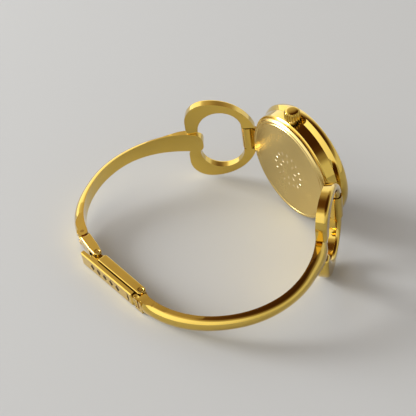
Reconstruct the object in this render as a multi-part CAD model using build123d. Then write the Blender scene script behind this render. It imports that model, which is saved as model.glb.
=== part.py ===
"""A ladies' bangle watch in polished yellow metal, lying on its side on a table.

A round, thin watch head is carried between two open ring links. Each ring link turns on a
lug of the head and holds a curved arm on a pin between its two lobes. The arms meet in a
fold-over clasp: a link with a catch bar on one arm, a hooked tongue and a cover on the
other. Sizes are in millimetres.

The bangle is drawn in its own frame first: Z is the axis of the wrist loop, on the crown's
side of the head, X runs from the clasp to the head, and the loop's middle plane is Z = 0.
Left is +Y. At the end it is tilted as it lies, on the rim of the bezel and the lower edge
of the clasp's cover.
"""
from build123d import *
import os
from math import atan, cos, degrees, hypot, radians, sin, sqrt

# Watch head: radii across its axis, and heights along it from the rim of the case's back
head_x = 27.04                # the rim of the case's back, from the loop's axis
flank_high_r = 12.3           # the case's flank, where the bezel begins
flank_draft = 0.24            # and how much narrower it is at the rim of the back
bezel_flare = 0.7             # how far the bezel's edge stands out from the flank
widest_high = 3.1
bezel_low = 2.2
neck_step = 0.6               # the bezel is pressed on a neck of the case, this far in from the flank
neck_wall = 0.8
neck_high = 3.0
bezel_high = 5.0
back_inset = 0.46             # from the flank to the back's edge
back_bevel_w = 0.5
back_proud = 0.83
flank_low_r = flank_high_r - flank_draft
widest_r = flank_high_r + bezel_flare
neck_r = flank_high_r - neck_step
bore_r = neck_r - neck_wall
back_r = flank_low_r - back_inset
stem_high = 1.29              # the winding stem's axis
crown_r = 1.65
crown_l = 1.9

# Loop, seen along its axis
lug_back = 0.24               # the ring link's hinge, behind the rim of the case's back
lug_out = 2.14                # and out from the case's flank
ring_turn = 52.1              # the way the ring link's outer face looks, in degrees from X
ring_r = 10.05                # the ring link's large outer circle
ring_t = 2.2
arm_r = 18.17                 # the circle of the arm's inner face
arm_pin_turn = 42.45          # the way from that circle's centre to the arm's pin, in degrees
arm_pin_out = 1.28            # the pin lies this far outside the inner face
arm_t = 1.65                  # the arm's thickness at mid length, at the ring and at the clasp
arm_ring_t = 2.3
arm_clasp_t = 2.2
arm_h = 3.2                   # the arm's height along the loop's axis, in the same places
arm_ring_h = 4.7
arm_clasp_h = 3.0
tongue_pin_turn = 182.1       # the same two for the tongue's pin, at the right arm's end
tongue_pin_out = 0.39
clasp_lean = 5.5              # the clasp's lean from Y, in degrees
cover_h = 3.2

# Fits
running = 0.05                # a pin or shaft that turns, on the radius
seat = 0.1                    # room between pieces that don't move on each other
play = 0.1                    # room between moving pieces side by side
sweep = 0.15                  # room round a knuckle that turns in a slot
overrun = 1.0                 # how far a cut runs past the face that it opens
crown_low = widest_r + play   # the crown's inner face, from the head's axis

parts = {}


def disc(radius, low, high, x=0, y=0):
    """A round solid about the vertical through x, y."""
    return Pos(x, y, (low + high) / 2) * Cylinder(radius, high - low)


def washer(outer, inner, low, high, x=0, y=0):
    return disc(outer, low, high, x, y) - disc(inner, low - overrun, high + overrun, x, y)


def slab(x0, x1, y0, y1, z0, z1):
    """A box between three pairs of planes."""
    return Pos((x0 + x1) / 2, (y0 + y1) / 2, (z0 + z1) / 2) * Box(x1 - x0, y1 - y0, z1 - z0)


def raised(flat, low, high):
    """A flat outline, drawn at Z = 0, as a solid between two heights."""
    return Pos(0, 0, low) * extrude(flat, amount=high - low, dir=(0, 0, 1))


def turned(*points):
    """A solid turned about Z from its half section, given as radius and height."""
    return revolve(make_face(Polyline(*[(r, 0, z) for r, z in points], close=True)), Axis.Z)


def polygon(*points):
    return make_face(Polyline(*points, close=True))


def eased(value, start, end):
    """0 before start, 1 after end, with a smooth rise between."""
    u = min(max((value - start) / (end - start), 0), 1)
    return u * u * (3 - 2 * u)


def head(shape):
    """Sets a piece drawn in the head's frame: Z to the dial, X to three o'clock, Y to twelve."""
    return Plane(origin=(head_x, 0, 0), x_dir=(0, 0, 1), z_dir=(1, 0, 0)).location * shape


# Case, back, bezel and crystal
rim_chamfer = 0.2
back_bevel_h = 0.5
recess_step = 0.4             # the case's recess for the snap back, in from the back's edge
recess_high = 0.8
snap_wall_gap = 0.45          # room for the gasket between the recess and the snap back's wall
snap_wall_t = 0.3
snap_wall_high = 0.7
back_gasket_low = 0.1
back_gasket_h = 0.3
bezel_face_w = 0.9
bezel_shoulder_in = 0.4       # the rounded edge's top, in from the widest
bezel_slope_w = 0.95
bezel_shoulder_high = 4.4
bezel_hollow_share = 0.3      # how far out the middle of the bezel's concave flare is
bezel_bulge = 0.1
bezel_lip = 0.5               # how far the lip under the crystal reaches in
crystal_t = 1.0
crystal_proud = 0.2
crystal_chamfer = 0.15
crystal_gasket_t = 0.35
recess_r = back_r - recess_step
snap_wall_r = recess_r - snap_wall_gap
bezel_shoulder_r = widest_r - bezel_shoulder_in
crystal_low = bezel_high + crystal_proud - crystal_t
crystal_seat_r = bezel_shoulder_r - bezel_slope_w - bezel_face_w
crystal_r = crystal_seat_r - crystal_gasket_t
bezel_lip_r = crystal_r - bezel_lip
tube_r = 0.75
tube_bore_r = 0.47
tube_in_crown = 0.8           # how far the crown's tube reaches into the crown


def case_middle():
    """The case's drum, with the recess of the snap back and the hole of the crown's tube."""
    drum = turned(
        (recess_r, 0), (flank_low_r - rim_chamfer, 0), (flank_low_r, rim_chamfer),
        (flank_high_r, bezel_low), (neck_r, bezel_low), (neck_r, neck_high),
        (bore_r, neck_high), (bore_r, recess_high), (recess_r, recess_high))
    return drum - along_stem(disc(tube_r, bore_r - overrun, flank_high_r + overrun))


def along_stem(shape):
    """Turns a piece drawn about Z so that it lies along the winding stem."""
    return Pos(0, 0, stem_high) * Rot(0, 90, 0) * shape


def case_back():
    """The snap back: a flat disc with a bevelled edge, and the wall that snaps in the recess."""
    return turned(
        (0, -back_proud), (back_r - back_bevel_w, -back_proud),
        (back_r, back_bevel_h - back_proud), (back_r, 0), (snap_wall_r, 0), (snap_wall_r, snap_wall_high), (snap_wall_r - snap_wall_t, snap_wall_high),
        (snap_wall_r - snap_wall_t, 0), (0, 0))


def bezel():
    """The front ring: a concave flare, a rounded edge, a sloping face and a seat for the crystal."""
    hollow_r = flank_high_r + (widest_r - flank_high_r) * bezel_hollow_share
    edge_mid_r = (widest_r + bezel_shoulder_r) / 2 + bezel_bulge
    section = make_face([
        ThreePointArc((flank_high_r, 0, bezel_low), (hollow_r, 0, (bezel_low + widest_high) / 2),
                      (widest_r, 0, widest_high)),
        ThreePointArc((widest_r, 0, widest_high), (edge_mid_r, 0, (widest_high + bezel_shoulder_high) / 2),
                      (bezel_shoulder_r, 0, bezel_shoulder_high)),
        Polyline((bezel_shoulder_r, 0, bezel_shoulder_high), (crystal_seat_r + bezel_face_w, 0, bezel_high),
                 (crystal_seat_r, 0, bezel_high), (crystal_seat_r, 0, crystal_low),
                 (bezel_lip_r, 0, crystal_low), (bezel_lip_r, 0, neck_high), (neck_r, 0, neck_high),
                 (neck_r, 0, bezel_low), (flank_high_r, 0, bezel_low))])
    return revolve(section, Axis.Z)


def crystal():
    top = bezel_high + crystal_proud
    return turned((0, crystal_low), (crystal_r, crystal_low), (crystal_r, bezel_high),
                  (crystal_r - crystal_chamfer, top), (0, top))


parts["case_middle"] = head(case_middle())
parts["bezel"] = head(bezel())
parts["crystal"] = head(crystal())
parts["crystal_gasket"] = head(washer(crystal_seat_r, crystal_r, crystal_low, bezel_high))
parts["case_back"] = head(case_back())
parts["case_back_gasket"] = head(
    washer(recess_r, snap_wall_r, back_gasket_low, back_gasket_low + back_gasket_h))
parts["crown_tube"] = head(along_stem(washer(tube_r, tube_bore_r, bore_r, crown_low + tube_in_crown)))

# Dial and hands
dial_high = neck_high
dial_t = 0.4
marker_gap = 0.5              # from the markers' ends to the bezel's lip
marker_l = 1.5
marker_w = 0.4
marker_t = 0.15
markers = 12
hand_t = 0.15
hand_w = 0.8
hand_tail = 1.6
hand_tip_share = 0.3          # the tip's width, of the hand's width
hour_hand_l = 5.6
minute_hand_l = 8.4
hour_hand_gap = 0.3           # from the dial to the hour hand
hand_gap = 0.25               # from the hour hand to the minute hand
hour_angle = 304.5            # nine past ten, clockwise from twelve
minute_angle = 54.0
cannon_r = 0.45
hour_pipe_r = 0.75
hour_boss_r = 1.0
minute_boss_r = 0.75
marker_out_r = bezel_lip_r - marker_gap
hour_hand_low = dial_high + hour_hand_gap
minute_hand_low = hour_hand_low + hand_t + hand_gap


def hour_markers():
    """Twelve plain batons."""
    baton = Pos(marker_out_r - marker_l / 2, 0, dial_high + marker_t / 2) * Box(marker_l, marker_w, marker_t)
    return Compound([Rot(0, 0, 360 * i / markers) * baton for i in range(markers)])


def hand(length, boss_r, hole_r, low, angle):
    """A tapered baton hand that points at an angle clockwise from twelve."""
    half, tip = hand_w / 2, hand_w * hand_tip_share / 2
    blade = polygon((-half, -hand_tail), (half, -hand_tail), (tip, length), (-tip, length))
    return Rot(0, 0, -angle) * raised(blade + Circle(boss_r) - Circle(hole_r), low, low + hand_t)


parts["dial"] = head(washer(bore_r - seat, hour_pipe_r + seat, dial_high - dial_t, dial_high))
parts["hour_markers"] = head(hour_markers())
parts["hour_hand"] = head(hand(hour_hand_l, hour_boss_r, hour_pipe_r, hour_hand_low, hour_angle))
parts["minute_hand"] = head(hand(minute_hand_l, minute_boss_r, cannon_r, minute_hand_low, minute_angle))

# Movement: the train runs under a bridge on the back's side, the motion work under the dial
plate_r = 8.6
plate_low = 1.0
plate_high = 2.55
motion_floor = 1.75           # the recess of the motion work, open to the dial
bridge_low = 0.1
bridge_t = 0.2
bridge_half_x = 3.1
bridge_y0 = -1.0
bridge_y1 = 5.4
post_r = 0.4
posts = [(2.6, 0.9), (-2.6, 0.9), (2.5, 4.95)]
screw_head_r = 0.3
screw_head_h = 0.1
screw_r = 0.15
screw_l = 1.0
cell_x = -4.2
cell_y = -3.0
cell_r = 2.9
cell_low = 0.15
cell_high = 1.8
cell_room = 0.05
clamp_turn = 144.8            # the clamp's direction from the cell's centre, in degrees
clamp_w = 1.6
clamp_t = 0.1
clamp_reach = 1.2             # over the cell, past its centre
clamp_bend = 3.4
clamp_post = 4.16
clamp_l = 4.7
coil_y = 6.4
coil_r = 0.75
coil_half_l = 3.0
coil_high = 0.95              # the coil's axis
core_half_l = 4.2
core_w = 0.8
core_low = 0.55
core_high = 0.75
stator_t = 0.25
stator_y0 = 2.5
stator_y1 = 4.5
stator_leg_w = 0.9
rotor_hole_r = 0.75
magnet_r = 0.55
magnet_low = 0.72
magnet_high = 0.95
board_x0 = -2.0
board_x1 = 6.0
board_y0 = -7.5
board_y1 = -3.2
board_r = 8.3
board_t = 0.15
can_x = 3.0
can_y = -5.5
can_r = 0.6
can_low = 0.2
stem_r = 0.42
stem_in = 3.4                 # the stem's inner end, from the movement's centre
stem_in_crown = 0.3           # how far it goes into the crown beyond the recess
channel_half_w = 0.5
clutch_x = 3.6
clutch_l = 1.2
clutch_r = 0.78
clutch_room = 0.12
crown_pull = 0.9              # how far the crown pulls out
groove_x = 6.1
groove_w = 0.4
groove_r = 0.25
lever_t = 0.2
lever_low = 0.5
lever_x0 = 5.6
lever_x1 = 7.4
lever_y0 = -0.3
lever_y1 = 2.2
lever_nib_high = 1.0
ring_in_r = 8.7

# Wheels: numbers of teeth, modules, levels and the directions from the centre
centre_teeth = 60
third_pinion_teeth = 8
third_teeth = 32
rotor_teeth = 8
cannon_teeth = 12
minute_teeth = 36
minute_pinion_teeth = 10
hour_teeth = 40
train_module = 0.06
rotor_module = 0.07
motion_module = 0.1
train_turn = 100.0
motion_turn = 60.0
motion_distance = motion_module * (cannon_teeth + minute_teeth) / 2
hour_module = 2 * motion_distance / (minute_pinion_teeth + hour_teeth)
third_distance = train_module * (centre_teeth + third_pinion_teeth) / 2
rotor_distance = third_distance + rotor_module * (third_teeth + rotor_teeth) / 2
addendum_share = 0.8          # of the module
dedendum_share = 1.2
root_half_share = 0.22        # of the pitch
tip_half_share = 0.1
centre_wheel_low = 0.75
centre_wheel_high = 0.95
third_wheel_low = 0.4
third_wheel_high = 0.55
rotor_pinion_low = 0.37
rotor_pinion_high = 0.6
cannon_low = 1.8
cannon_high = 2.05
minute_wheel_high = 2.0
minute_pinion_high = 2.4
hour_wheel_low = 2.15
hour_wheel_high = 2.35
hour_pipe_high = 3.5
minute_post_r = 0.2
arbor_r = 0.25
pivot_r = 0.12
pivot_low = 0.13
pivot_high = 1.2
wheel_room = 0.15


def at(turn, distance):
    """A point at a direction and distance from the movement's centre."""
    return distance * cos(radians(turn)), distance * sin(radians(turn))


def gear(teeth, module, low, high, tooth_at=0.0, gap_at=None, x=0, y=0):
    """A wheel with plain straight-sided teeth, a tooth or a gap towards a direction."""
    if gap_at is not None:
        tooth_at = gap_at + 180 / teeth
    tip_r, root_r = module * (teeth / 2 + addendum_share), module * (teeth / 2 - dedendum_share)
    corners = [(-root_half_share, root_r), (-tip_half_share, tip_r), (tip_half_share, tip_r),
               (root_half_share, root_r)]
    points = []
    for i in range(teeth):
        for share, radius in corners:
            points.append(at(tooth_at + 360 * (i + share) / teeth, radius))
    return Pos(x, y, 0) * raised(polygon(*points), low, high)


third_x, third_y = at(train_turn, third_distance)
rotor_x, rotor_y = at(train_turn, rotor_distance)
minute_x, minute_y = at(motion_turn, motion_distance)
clamp_frame = Pos(cell_x, cell_y, 0) * Rot(0, 0, clamp_turn)
clamp_post_x = cell_x + clamp_post * cos(radians(clamp_turn))
clamp_post_y = cell_y + clamp_post * sin(radians(clamp_turn))
posts_high = bridge_low + bridge_t


def screw_places():
    return posts + [(clamp_post_x, clamp_post_y)]


def main_plate():
    """The base of the movement: posts for the bridge and clamp, pockets, and the recess of the
    motion work with the minute wheel's post."""
    body = disc(plate_r, plate_low, plate_high)
    for x, y in screw_places():
        body += disc(post_r, posts_high, plate_low + seat, x, y)
    for x, y in screw_places():
        body -= disc(screw_r, posts_high - seat, posts_high + screw_l, x, y)
    body -= disc(cell_r + cell_room, plate_low - seat, cell_high, cell_x, cell_y)
    body -= slab(-coil_half_l - seat, coil_half_l + seat, coil_y - coil_r - seat, coil_y + coil_r + seat,
                 plate_low - seat, coil_high + coil_r + cell_room)
    body -= disc(motion_module * minute_teeth / 2 + 2 * wheel_room, motion_floor,
                 plate_high + overrun, minute_x, minute_y)
    body -= disc(hour_module * hour_teeth / 2 + wheel_room, motion_floor, plate_high + overrun)
    body += disc(minute_post_r, motion_floor, plate_high, minute_x, minute_y)
    body -= disc(arbor_r + running, plate_low - seat, motion_floor + seat)
    for x, y in ((third_x, third_y), (rotor_x, rotor_y)):
        body -= disc(pivot_r + running, plate_low - seat, pivot_high + running, x, y)
    body -= slab(stem_in - clutch_room, clutch_x + clutch_l + crown_pull + clutch_room,
                 -clutch_r - clutch_room, clutch_r + clutch_room, plate_low - seat,
                 stem_high + clutch_r + clutch_room)
    body -= slab(clutch_x, plate_r + overrun, -channel_half_w, channel_half_w, plate_low - seat,
                 stem_high + channel_half_w)
    return body


def train_bridge():
    body = slab(-bridge_half_x, bridge_half_x, bridge_y0, bridge_y1, bridge_low, posts_high)
    body -= disc(cell_r + wheel_room, 0, posts_high + seat, cell_x, cell_y)
    for x, y in posts:
        body -= disc(screw_head_r, bridge_low - seat, bridge_low + screw_head_h, x, y)
        body -= disc(screw_r, bridge_low - seat, posts_high + seat, x, y)
    for x, y in ((0, 0), (third_x, third_y), (rotor_x, rotor_y)):
        body -= disc(pivot_r + running, bridge_low - seat, posts_high + seat, x, y)
    return body


def battery_clamp():
    """A spring strap over the cell, stepped down to its post."""
    half, low = clamp_w / 2, cell_low - clamp_t
    strap = slab(-clamp_reach, clamp_bend, -half, half, low, cell_low)
    strap += slab(clamp_bend - clamp_t, clamp_bend, -half, half, low, posts_high)
    strap += slab(clamp_bend - clamp_t, clamp_l, -half, half, posts_high - clamp_t, posts_high)
    strap -= disc(screw_r, 0, posts_high + seat, clamp_post, 0)
    return clamp_frame * strap


def movement_screws():
    """Equal screws: three in the bridge and one in the clamp."""
    screw = disc(screw_head_r, bridge_low, bridge_low + screw_head_h)
    screw += disc(screw_r, bridge_low + screw_head_h, bridge_low + screw_head_h + screw_l)
    return Compound([Pos(x, y, 0) * screw for x, y in screw_places()])


def movement_ring():
    """The plastic ring that centres the movement in the case, open where the stem passes."""
    ring = washer(bore_r - seat, ring_in_r, recess_high, plate_high)
    return ring - slab(plate_r, bore_r, -channel_half_w, channel_half_w, recess_high - seat,
                       stem_high + channel_half_w)


def stator():
    top = plate_low
    plate = slab(-core_half_l, core_half_l, stator_y0, stator_y1, top - stator_t, top)
    for x in (-core_half_l, core_half_l - stator_leg_w):
        plate += slab(x, x + stator_leg_w, stator_y0, coil_y + core_w / 2, top - stator_t, top)
    return plate - disc(rotor_hole_r, 0, top + seat, rotor_x, rotor_y)


def coil():
    """The winding on its flat core, whose ends lie on the legs of the stator."""
    winding = Pos(0, coil_y, coil_high) * Rot(0, 90, 0) * Cylinder(coil_r, 2 * coil_half_l)
    return winding + slab(-core_half_l, core_half_l, coil_y - core_w / 2, coil_y + core_w / 2,
                          core_low, core_high)


def circuit_board():
    board = slab(board_x0, board_x1, board_y0, board_y1, plate_low - board_t, plate_low)
    board &= disc(board_r, 0, plate_high)
    return board - disc(cell_r + wheel_room, 0, plate_high, cell_x, cell_y)


def centre_wheel():
    """The wheel, its arbor, and the cannon pinion whose pipe carries the minute hand."""
    top = minute_hand_low + hand_t
    return (gear(centre_teeth, train_module, centre_wheel_low, centre_wheel_high, train_turn)
            + disc(pivot_r, pivot_low, centre_wheel_low) + disc(arbor_r, centre_wheel_low, cannon_high)
            + gear(cannon_teeth, motion_module, cannon_low, cannon_high, motion_turn)
            + disc(cannon_r, cannon_low, top))


def third_wheel():
    return (gear(third_pinion_teeth, train_module, third_wheel_high, centre_wheel_high + running,
                 gap_at=train_turn + 180, x=third_x, y=third_y)
            + gear(third_teeth, rotor_module, third_wheel_low, third_wheel_high, train_turn,
                   x=third_x, y=third_y)
            + disc(pivot_r, pivot_low, pivot_high, third_x, third_y))


def rotor():
    """The stepping motor's magnet on its pinion."""
    return (gear(rotor_teeth, rotor_module, rotor_pinion_low, rotor_pinion_high,
                 gap_at=train_turn + 180, x=rotor_x, y=rotor_y)
            + disc(magnet_r, magnet_low, magnet_high, rotor_x, rotor_y)
            + disc(pivot_r, pivot_low, pivot_high, rotor_x, rotor_y))


def minute_wheel():
    wheel = gear(minute_teeth, motion_module, cannon_low, minute_wheel_high, gap_at=motion_turn + 180)
    wheel += gear(minute_pinion_teeth, hour_module, minute_wheel_high, minute_pinion_high, motion_turn + 180)
    wheel -= disc(minute_post_r + running, cannon_low - seat, minute_pinion_high + seat)
    return Pos(minute_x, minute_y, 0) * wheel


def hour_wheel():
    wheel = gear(hour_teeth, hour_module, hour_wheel_low, hour_wheel_high, gap_at=motion_turn)
    wheel += disc(hour_pipe_r, hour_wheel_low, hour_pipe_high)
    return wheel - disc(cannon_r + running, hour_wheel_low - seat, hour_pipe_high + seat)


parts["main_plate"] = head(main_plate())
parts["train_bridge"] = head(train_bridge())
parts["movement_screws"] = head(movement_screws())
parts["movement_ring"] = head(movement_ring())
parts["battery_cell"] = head(disc(cell_r, cell_low, cell_high, cell_x, cell_y))
parts["battery_clamp"] = head(battery_clamp())
parts["circuit_board"] = head(circuit_board())
parts["oscillator_can"] = head(disc(can_r, can_low, plate_low - board_t, can_x, can_y))
parts["coil"] = head(coil())
parts["stator"] = head(stator())
parts["rotor"] = head(rotor())
parts["third_wheel"] = head(third_wheel())
parts["centre_wheel"] = head(centre_wheel())
parts["minute_wheel"] = head(minute_wheel())
parts["hour_wheel"] = head(hour_wheel())

# Crown and keyless works, drawn along Z from the movement's centre and laid along the stem
flutes = 18
flute_r = 0.2
crown_dome = 0.45
crown_recess_r = 1.1
crown_gasket_low = 0.15
crown_gasket_h = 0.45
clutch_teeth = 14


def crown():
    """A fluted knob with a rounded top, hollow round the end of the tube."""
    knob = Pos(0, 0, crown_low + crown_l / 2) * Cylinder(crown_r, crown_l)
    knob = fillet(knob.edges().filter_by(GeomType.CIRCLE).sort_by(Axis.Z)[-1], crown_dome)
    for i in range(flutes):
        x, y = at(360 * i / flutes, crown_r)
        knob -= disc(flute_r, crown_low - seat, crown_low + crown_l - crown_dome, x, y)
    knob -= disc(crown_recess_r, crown_low - seat, crown_low + tube_in_crown + seat)
    return knob - disc(stem_r, crown_low, crown_low + tube_in_crown + seat + stem_in_crown)


def winding_stem():
    stem = disc(stem_r, stem_in, crown_low + tube_in_crown + seat + stem_in_crown)
    groove = disc(stem_r + seat, groove_x, groove_x + groove_w)
    return stem - (groove - disc(groove_r, groove_x, groove_x + groove_w))


def setting_lever():
    """The flat lever whose nib stands in the stem's groove."""
    lever = slab(lever_x0, lever_x1, lever_y0, lever_y1, lever_low, lever_low + lever_t)
    mid = groove_x + groove_w / 2
    return lever + slab(mid - lever_t / 2, mid + lever_t / 2, lever_y0, -lever_y0,
                        lever_low, lever_nib_high)


parts["crown"] = head(along_stem(crown()))
parts["winding_stem"] = head(along_stem(winding_stem()))
parts["crown_gasket"] = head(along_stem(
    washer(crown_recess_r, tube_r + running, crown_low + crown_gasket_low,
           crown_low + crown_gasket_low + crown_gasket_h)))
parts["sliding_pinion"] = head(along_stem(
    gear(clutch_teeth, 2 * clutch_r / (clutch_teeth + 2), clutch_x, clutch_x + clutch_l)
    - disc(stem_r, clutch_x - seat, clutch_x + clutch_l + seat)))
parts["setting_lever"] = head(setting_lever())

# Lugs and ring links. The ring's frame stands on its hinge: X to the arm, Y up, Z outward
lug_r = 1.375
lug_h = 5.6
bar_r = 0.6
web_set = 0.3                 # the web's inner side, from the hinge towards the dial
web_bite = 0.46               # how far the web would reach under the flank, cut to fit it
web_h = 4.8
arm_pin_in = 1.331            # from the lobes' tips to the arm's pin
arm_pin_z = -0.2
arm_pin_r = 0.45
arm_pin_depth = 1.6           # how deep the pin stands in each lobe
ring_inner_z = -1.15
ring_back = 2.05              # how far the large circle reaches behind the lug's hinge
lobe_r = 4.631
lobe_corner_r = 1.0
slot_y = 2.95                 # the ring's hole is two half circles, this far from the middle
ring_top_w = 2.4              # the ring's width at its top, at the lug and at the lobes' tips
ring_lug_w = 3.15
ring_tip_w = 2.581
ring_centre_x = ring_r - ring_back
slot_r = ring_r - ring_top_w - slot_y
slot_x = ring_lug_w - ring_back + slot_r
lobe_x = slot_x + slot_r + ring_tip_w - lobe_r
lobe_y = sqrt((ring_r - lobe_r) ** 2 - (lobe_x - ring_centre_x) ** 2)
hinge_to_arm = lobe_x + lobe_r - arm_pin_in    # from the lug's hinge to the arm's pin
lug_x, lug_y = head_x - lug_back, flank_low_r + lug_out
lug_gap_half = lug_h / 2 + sweep
arm_gap_half = arm_ring_h / 2 + play
ring_round = 0.8


def ring_frame():
    a = radians(ring_turn)
    return Plane(origin=(lug_x, lug_y, 0), x_dir=(-sin(a), cos(a), 0), z_dir=(cos(a), sin(a), 0)).location


def horn():
    """The upper half of a ring link: from the lug's gap, round its hole, to the arm's gap."""
    slant = sqrt(1 / 2)
    lean = hypot(lobe_x - ring_centre_x, lobe_y)
    start = (ring_centre_x - sqrt(ring_r ** 2 - lug_gap_half ** 2), lug_gap_half)
    big_mid = (ring_centre_x - ring_r * slant, ring_r * slant)
    touch = (ring_centre_x + ring_r * (lobe_x - ring_centre_x) / lean, ring_r * lobe_y / lean)
    lobe_mid = (lobe_x + lobe_r * slant, lobe_y + lobe_r * slant)
    tip_x = lobe_x + lobe_r
    inner_x = slot_x + slot_r
    outline = make_face([
        ThreePointArc(start, big_mid, touch),
        ThreePointArc(touch, lobe_mid, (tip_x, lobe_y)),
        Polyline((tip_x, lobe_y), (tip_x, arm_gap_half), (inner_x, arm_gap_half), (inner_x, slot_y)),
        ThreePointArc((inner_x, slot_y), (slot_x, slot_y + slot_r), (slot_x - slot_r, slot_y)),
        Polyline((slot_x - slot_r, slot_y), (slot_x - slot_r, lug_gap_half), start)])
    corner = outline.vertices().sort_by_distance((tip_x, arm_gap_half))[0]
    solid = raised(fillet(corner, lobe_corner_r), ring_inner_z, ring_inner_z + ring_t)
    solid = fillet(face_sides(solid, False), ring_round)
    return fillet(face_sides(solid, True), ring_round)


def face_sides(solid, at_hole):
    """The outer face's edges along the hole, or along the outside, without its two ends."""
    edges = solid.faces().sort_by(Axis.Z)[-1].edges()
    sides = [edge for edge in edges if edge not in edges.filter_by(Axis.X)]
    return [edge for edge in sides
            if (hypot(edge.center().X - slot_x, edge.center().Y - slot_y) < slot_r + seat) == at_hole]


def upright(radius, half, x, z):
    """A round bar along the ring frame's Y, to both sides of its middle."""
    return Pos(x, 0, z) * Rot(90, 0, 0) * Cylinder(radius, 2 * half)


def ring_left():
    """Two horns joined by the bar that turns in the lug, with blind holes for the arm's pin."""
    upper = horn()
    ring = upper + mirror(upper, Plane.XZ) + upright(bar_r, lug_gap_half + bar_r, 0, 0)
    ring -= upright(arm_pin_r, arm_gap_half + arm_pin_depth, hinge_to_arm, arm_pin_z)
    return ring_frame() * ring


def lug_left():
    """The barrel that the ring link turns in, and its web, soldered to the case's flank."""
    lug = disc(lug_r, -lug_h / 2, lug_h / 2, lug_x, lug_y)
    lug += slab(lug_x + web_set, lug_x + lug_r, flank_low_r - web_bite, lug_y, -web_h / 2, web_h / 2)
    lug -= disc(bar_r + running, -lug_h, lug_h, lug_x, lug_y)
    return lug - parts["case_middle"]


def right(shape):
    """The mirror image of a left-hand piece."""
    return mirror(shape, Plane.XZ)


parts["lug_left"] = lug_left()
parts["lug_right"] = right(parts["lug_left"])
parts["ring_left"] = ring_left()
parts["ring_right"] = right(parts["ring_left"])
parts["arm_pin_left"] = ring_frame() * upright(arm_pin_r, arm_gap_half + arm_pin_depth,
                                               hinge_to_arm, arm_pin_z)
parts["arm_pin_right"] = right(parts["arm_pin_left"])

# Arms: D-shaped sections, flat inside and rounded outside, along a circle
arm_end_turn = 165.0          # the link's pin, as a direction from the arm's centre
ring_turns = [33.0, 44.0, 52.0, 62.0, 76.0, 92.0, 104.0, 110.0, 115.0]
clasp_turns = [115.0, 120.0, 126.0, 136.0, 146.0, 154.0, 160.0, 165.0]
right_turns = [171.0, 178.0]   # the right arm goes on to the tongue's hinge
arm_rise = 0.25               # how far the inner face moves out towards the clasp
tip_past_pin = 2.15           # how far the arm's tip reaches past its pin
tip_corner_r = 1.2
thin_from_turn = 46.0         # directions between which the arm takes its middle section
thin_to_turn = 66.0
low_to_turn = 92.0
thick_from_turn = 138.0       # and its section at the clasp
thick_to_turn = 158.0
ring_side_share = 0.6
arm_side_share = 0.15
clasp_side_share = 0.85
link_pin_r = 0.4
link_eye_r = 1.1
fork_half = 0.75              # half the width of the slots for middle knuckles
knuckle_half = fork_half - play / 2


def arm_centre():
    """The centre of the left arm's circle, from the pin in the ring link."""
    a, b, out = radians(ring_turn), radians(arm_pin_turn), arm_r + arm_pin_out
    x = lug_x - hinge_to_arm * sin(a) + arm_pin_z * cos(a)
    y = lug_y + hinge_to_arm * cos(a) + arm_pin_z * sin(a)
    return x - out * cos(b), y - out * sin(b)


arm_x, arm_y = arm_centre()


def on_arm(turn, out):
    """A point of the left arm: its direction from the centre, and how far outside the inner face."""
    return arm_x + (arm_r + out) * cos(radians(turn)), arm_y + (arm_r + out) * sin(radians(turn))


clasp_x, clasp_y = on_arm(tongue_pin_turn, tongue_pin_out)
clasp_y = -clasp_y            # the tongue hangs on the right arm


def arm_section(angle):
    """The arm's section at a direction from its centre."""
    to_ring = 1 - eased(angle, thin_from_turn, thin_to_turn)
    to_clasp = eased(angle, thick_from_turn, thick_to_turn)
    high = arm_h + (arm_ring_h - arm_h) * (1 - eased(angle, thin_from_turn, low_to_turn))
    high += (arm_clasp_h - arm_h) * to_clasp
    thick = arm_t + (arm_ring_t - arm_t) * to_ring + (arm_clasp_t - arm_t) * to_clasp
    share = arm_side_share + (ring_side_share - arm_side_share) * to_ring
    share += (clasp_side_share - arm_side_share) * to_clasp
    a, inner, half = radians(angle), arm_r + arm_rise * to_clasp, high / 2
    frame = Plane(origin=(arm_x + inner * cos(a), arm_y + inner * sin(a), 0),
                  x_dir=(cos(a), sin(a), 0), z_dir=(sin(a), -cos(a), 0))
    side = thick * share
    return frame * make_face([
        Polyline((side, half), (0, half), (0, -half), (side, -half)),
        ThreePointArc((side, -half), (thick, 0), (side, half))])


def bare_arm(further=()):
    """The arm's band from its tip in the ring to the clasp."""
    band = loft([arm_section(angle) for angle in ring_turns])
    band += loft([arm_section(angle) for angle in clasp_turns + list(further)])
    reach = arm_r + arm_r
    tip = RectangleRounded(2 * reach, arm_ring_h, tip_corner_r)
    tip = Pos(hinge_to_arm - tip_past_pin + reach, 0, 0) * tip
    band &= ring_frame() * raised(tip, -2 * reach, 2 * reach)
    return band - ring_frame() * upright(arm_pin_r + running, arm_ring_h, hinge_to_arm, arm_pin_z)


# Clasp, drawn in its own frame: X along the clasp to the left arm, Y outward, Z up
def clasp(shape):
    a = radians(clasp_lean)
    return Plane(origin=(clasp_x, clasp_y, 0), x_dir=(-sin(a), cos(a), 0), z_dir=(0, 0, 1)).location * shape


def in_clasp(x, y):
    """A point of the loop in the clasp's frame."""
    a, dx, dy = radians(clasp_lean), x - clasp_x, y - clasp_y
    return dy * cos(a) - dx * sin(a), -dx * cos(a) - dy * sin(a)


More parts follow.
